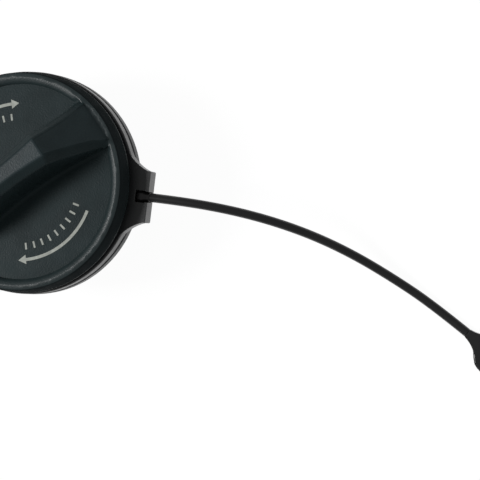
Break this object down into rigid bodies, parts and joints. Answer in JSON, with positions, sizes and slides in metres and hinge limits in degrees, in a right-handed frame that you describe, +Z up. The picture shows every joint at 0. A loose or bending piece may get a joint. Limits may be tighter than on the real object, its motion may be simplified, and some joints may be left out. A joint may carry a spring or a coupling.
{
  "type": "fuel filler cap",
  "caption": "Screw-in fuel filler cap with a waisted grip handle, ratchet drive, pressure and vacuum valves, and a loose ring carrying a moulded tether strap with an eyelet.",
  "frame": {"origin": "on the cap's axis at the open lower end of the stem", "axes": "+Z up the cap's axis to the grip, X along the grip's handle; the tether leaves at 42 degrees from +X towards -Y"},
  "size_m": [0.151, 0.1969, 0.0619],
  "materials": {
    "cover_plastic": "moulded nylon, dark grey with a cool tint, fine grain",
    "closure_plastic": "moulded acetal, dark grey, smooth",
    "tether_plastic": "moulded flexible polyester, dark grey, satin",
    "strap_plastic": "moulded flexible polyester, near black, glossy",
    "valve_plastic": "natural acetal, off-white",
    "drive_plastic": "natural acetal, off-white",
    "seal_rubber": "fluoroelastomer, black",
    "spring_steel": "drawn stainless wire",
    "plated_steel": "pressed plated sheet"
  },
  "bodies": {
    "closure": {"closure_body": "closure_plastic", "neck_gasket": "seal_rubber", "valve_retainer": "valve_plastic", "valve_housing": "valve_plastic", "housing_seal": "seal_rubber", "spring_cup": "plated_steel", "pressure_spring": "spring_steel"},
    "grip": {"grip_cover": "cover_plastic", "drive_ring": "drive_plastic"},
    "tether": {"tether_ring": "tether_plastic", "strap_head": "strap_plastic", "tether_strap": "strap_plastic", "strap_eyelet": "strap_plastic"},
    "pressure_valve": {"pressure_plate": "valve_plastic", "pressure_seal": "seal_rubber", "vacuum_spring": "spring_steel"},
    "vacuum_valve": {"vacuum_valve": "valve_plastic", "stem_clip": "plated_steel"}
  },
  "joints": [
    {"name": "grip_turn", "type": "hinge", "parent": "closure", "child": "grip", "pos_m": [0, 0, 0.0376], "axis": [0, 0, 1], "continuous": true},
    {"name": "tether_swivel", "type": "hinge", "parent": "closure", "child": "tether", "pos_m": [0, 0, 0.031], "axis": [0, 0, 1], "continuous": true},
    {"name": "pressure_lift", "type": "slide", "parent": "closure", "child": "pressure_valve", "axis": [0, 0, 1], "range_m": [0, 0.003], "stiffness_N_per_m": 250, "springref_m": -0.008, "deforming": ["pressure_spring"]},
    {"name": "vacuum_drop", "type": "slide", "parent": "pressure_valve", "child": "vacuum_valve", "axis": [0, 0, -1], "range_m": [0, 0.0014], "stiffness_N_per_m": 60, "springref_m": -0.005, "deforming": ["vacuum_spring"]}
  ]
}
